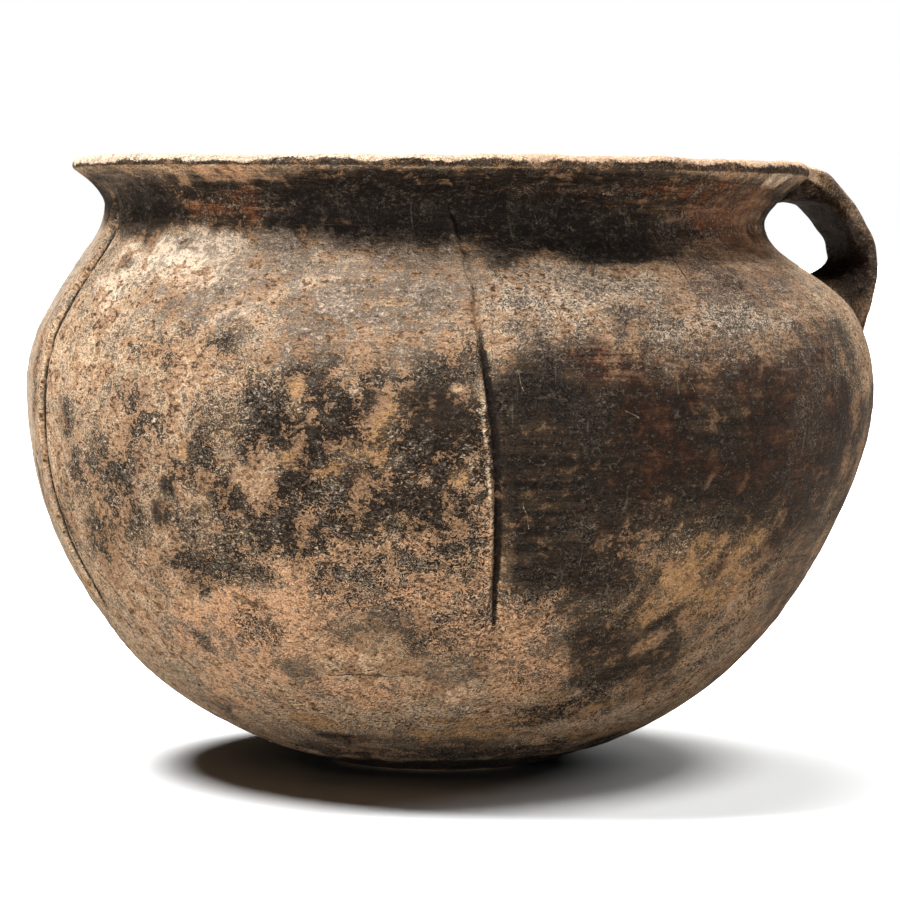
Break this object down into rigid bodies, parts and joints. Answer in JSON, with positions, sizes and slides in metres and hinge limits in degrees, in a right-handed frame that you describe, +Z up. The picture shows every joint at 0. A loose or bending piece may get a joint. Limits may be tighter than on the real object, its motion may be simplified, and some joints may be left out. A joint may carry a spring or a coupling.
{
  "type": "terracotta handled jar",
  "caption": "Hand-built round-bottomed terracotta jar with a wide flared rim, a strap handle from lip to shoulder and upright clay ribs, for cooking or storing food.",
  "frame": {"origin": "middle of the flattened spot under the jar, on the surface it rests on", "axes": "+Z up through the mouth, front towards -Y as pictured, the handle towards +X and a little to the back"},
  "size_m": [0.3878, 0.3816, 0.2708],
  "materials": {
    "terracotta_base": "matt, scraped, lightly sooted",
    "terracotta_body": "matt to faintly burnished, mottled by the fire",
    "terracotta_rim": "matt, worn pale along the lip",
    "terracotta_handle": "matt, sooted",
    "terracotta_ribs": "matt, crests worn pale"
  },
  "bodies": {
    "root": {"base_bowl": "terracotta_base", "lower_course": "terracotta_body", "belly_course": "terracotta_body", "shoulder_course": "terracotta_body", "neck_collar": "terracotta_body", "flared_rim": "terracotta_rim", "strap_handle": "terracotta_handle", "handle_lip_luting": "terracotta_handle", "handle_foot_luting": "terracotta_handle", "rib_front": "terracotta_ribs", "rib_left": "terracotta_ribs", "rib_back": "terracotta_ribs"}
  },
  "joints": []
}
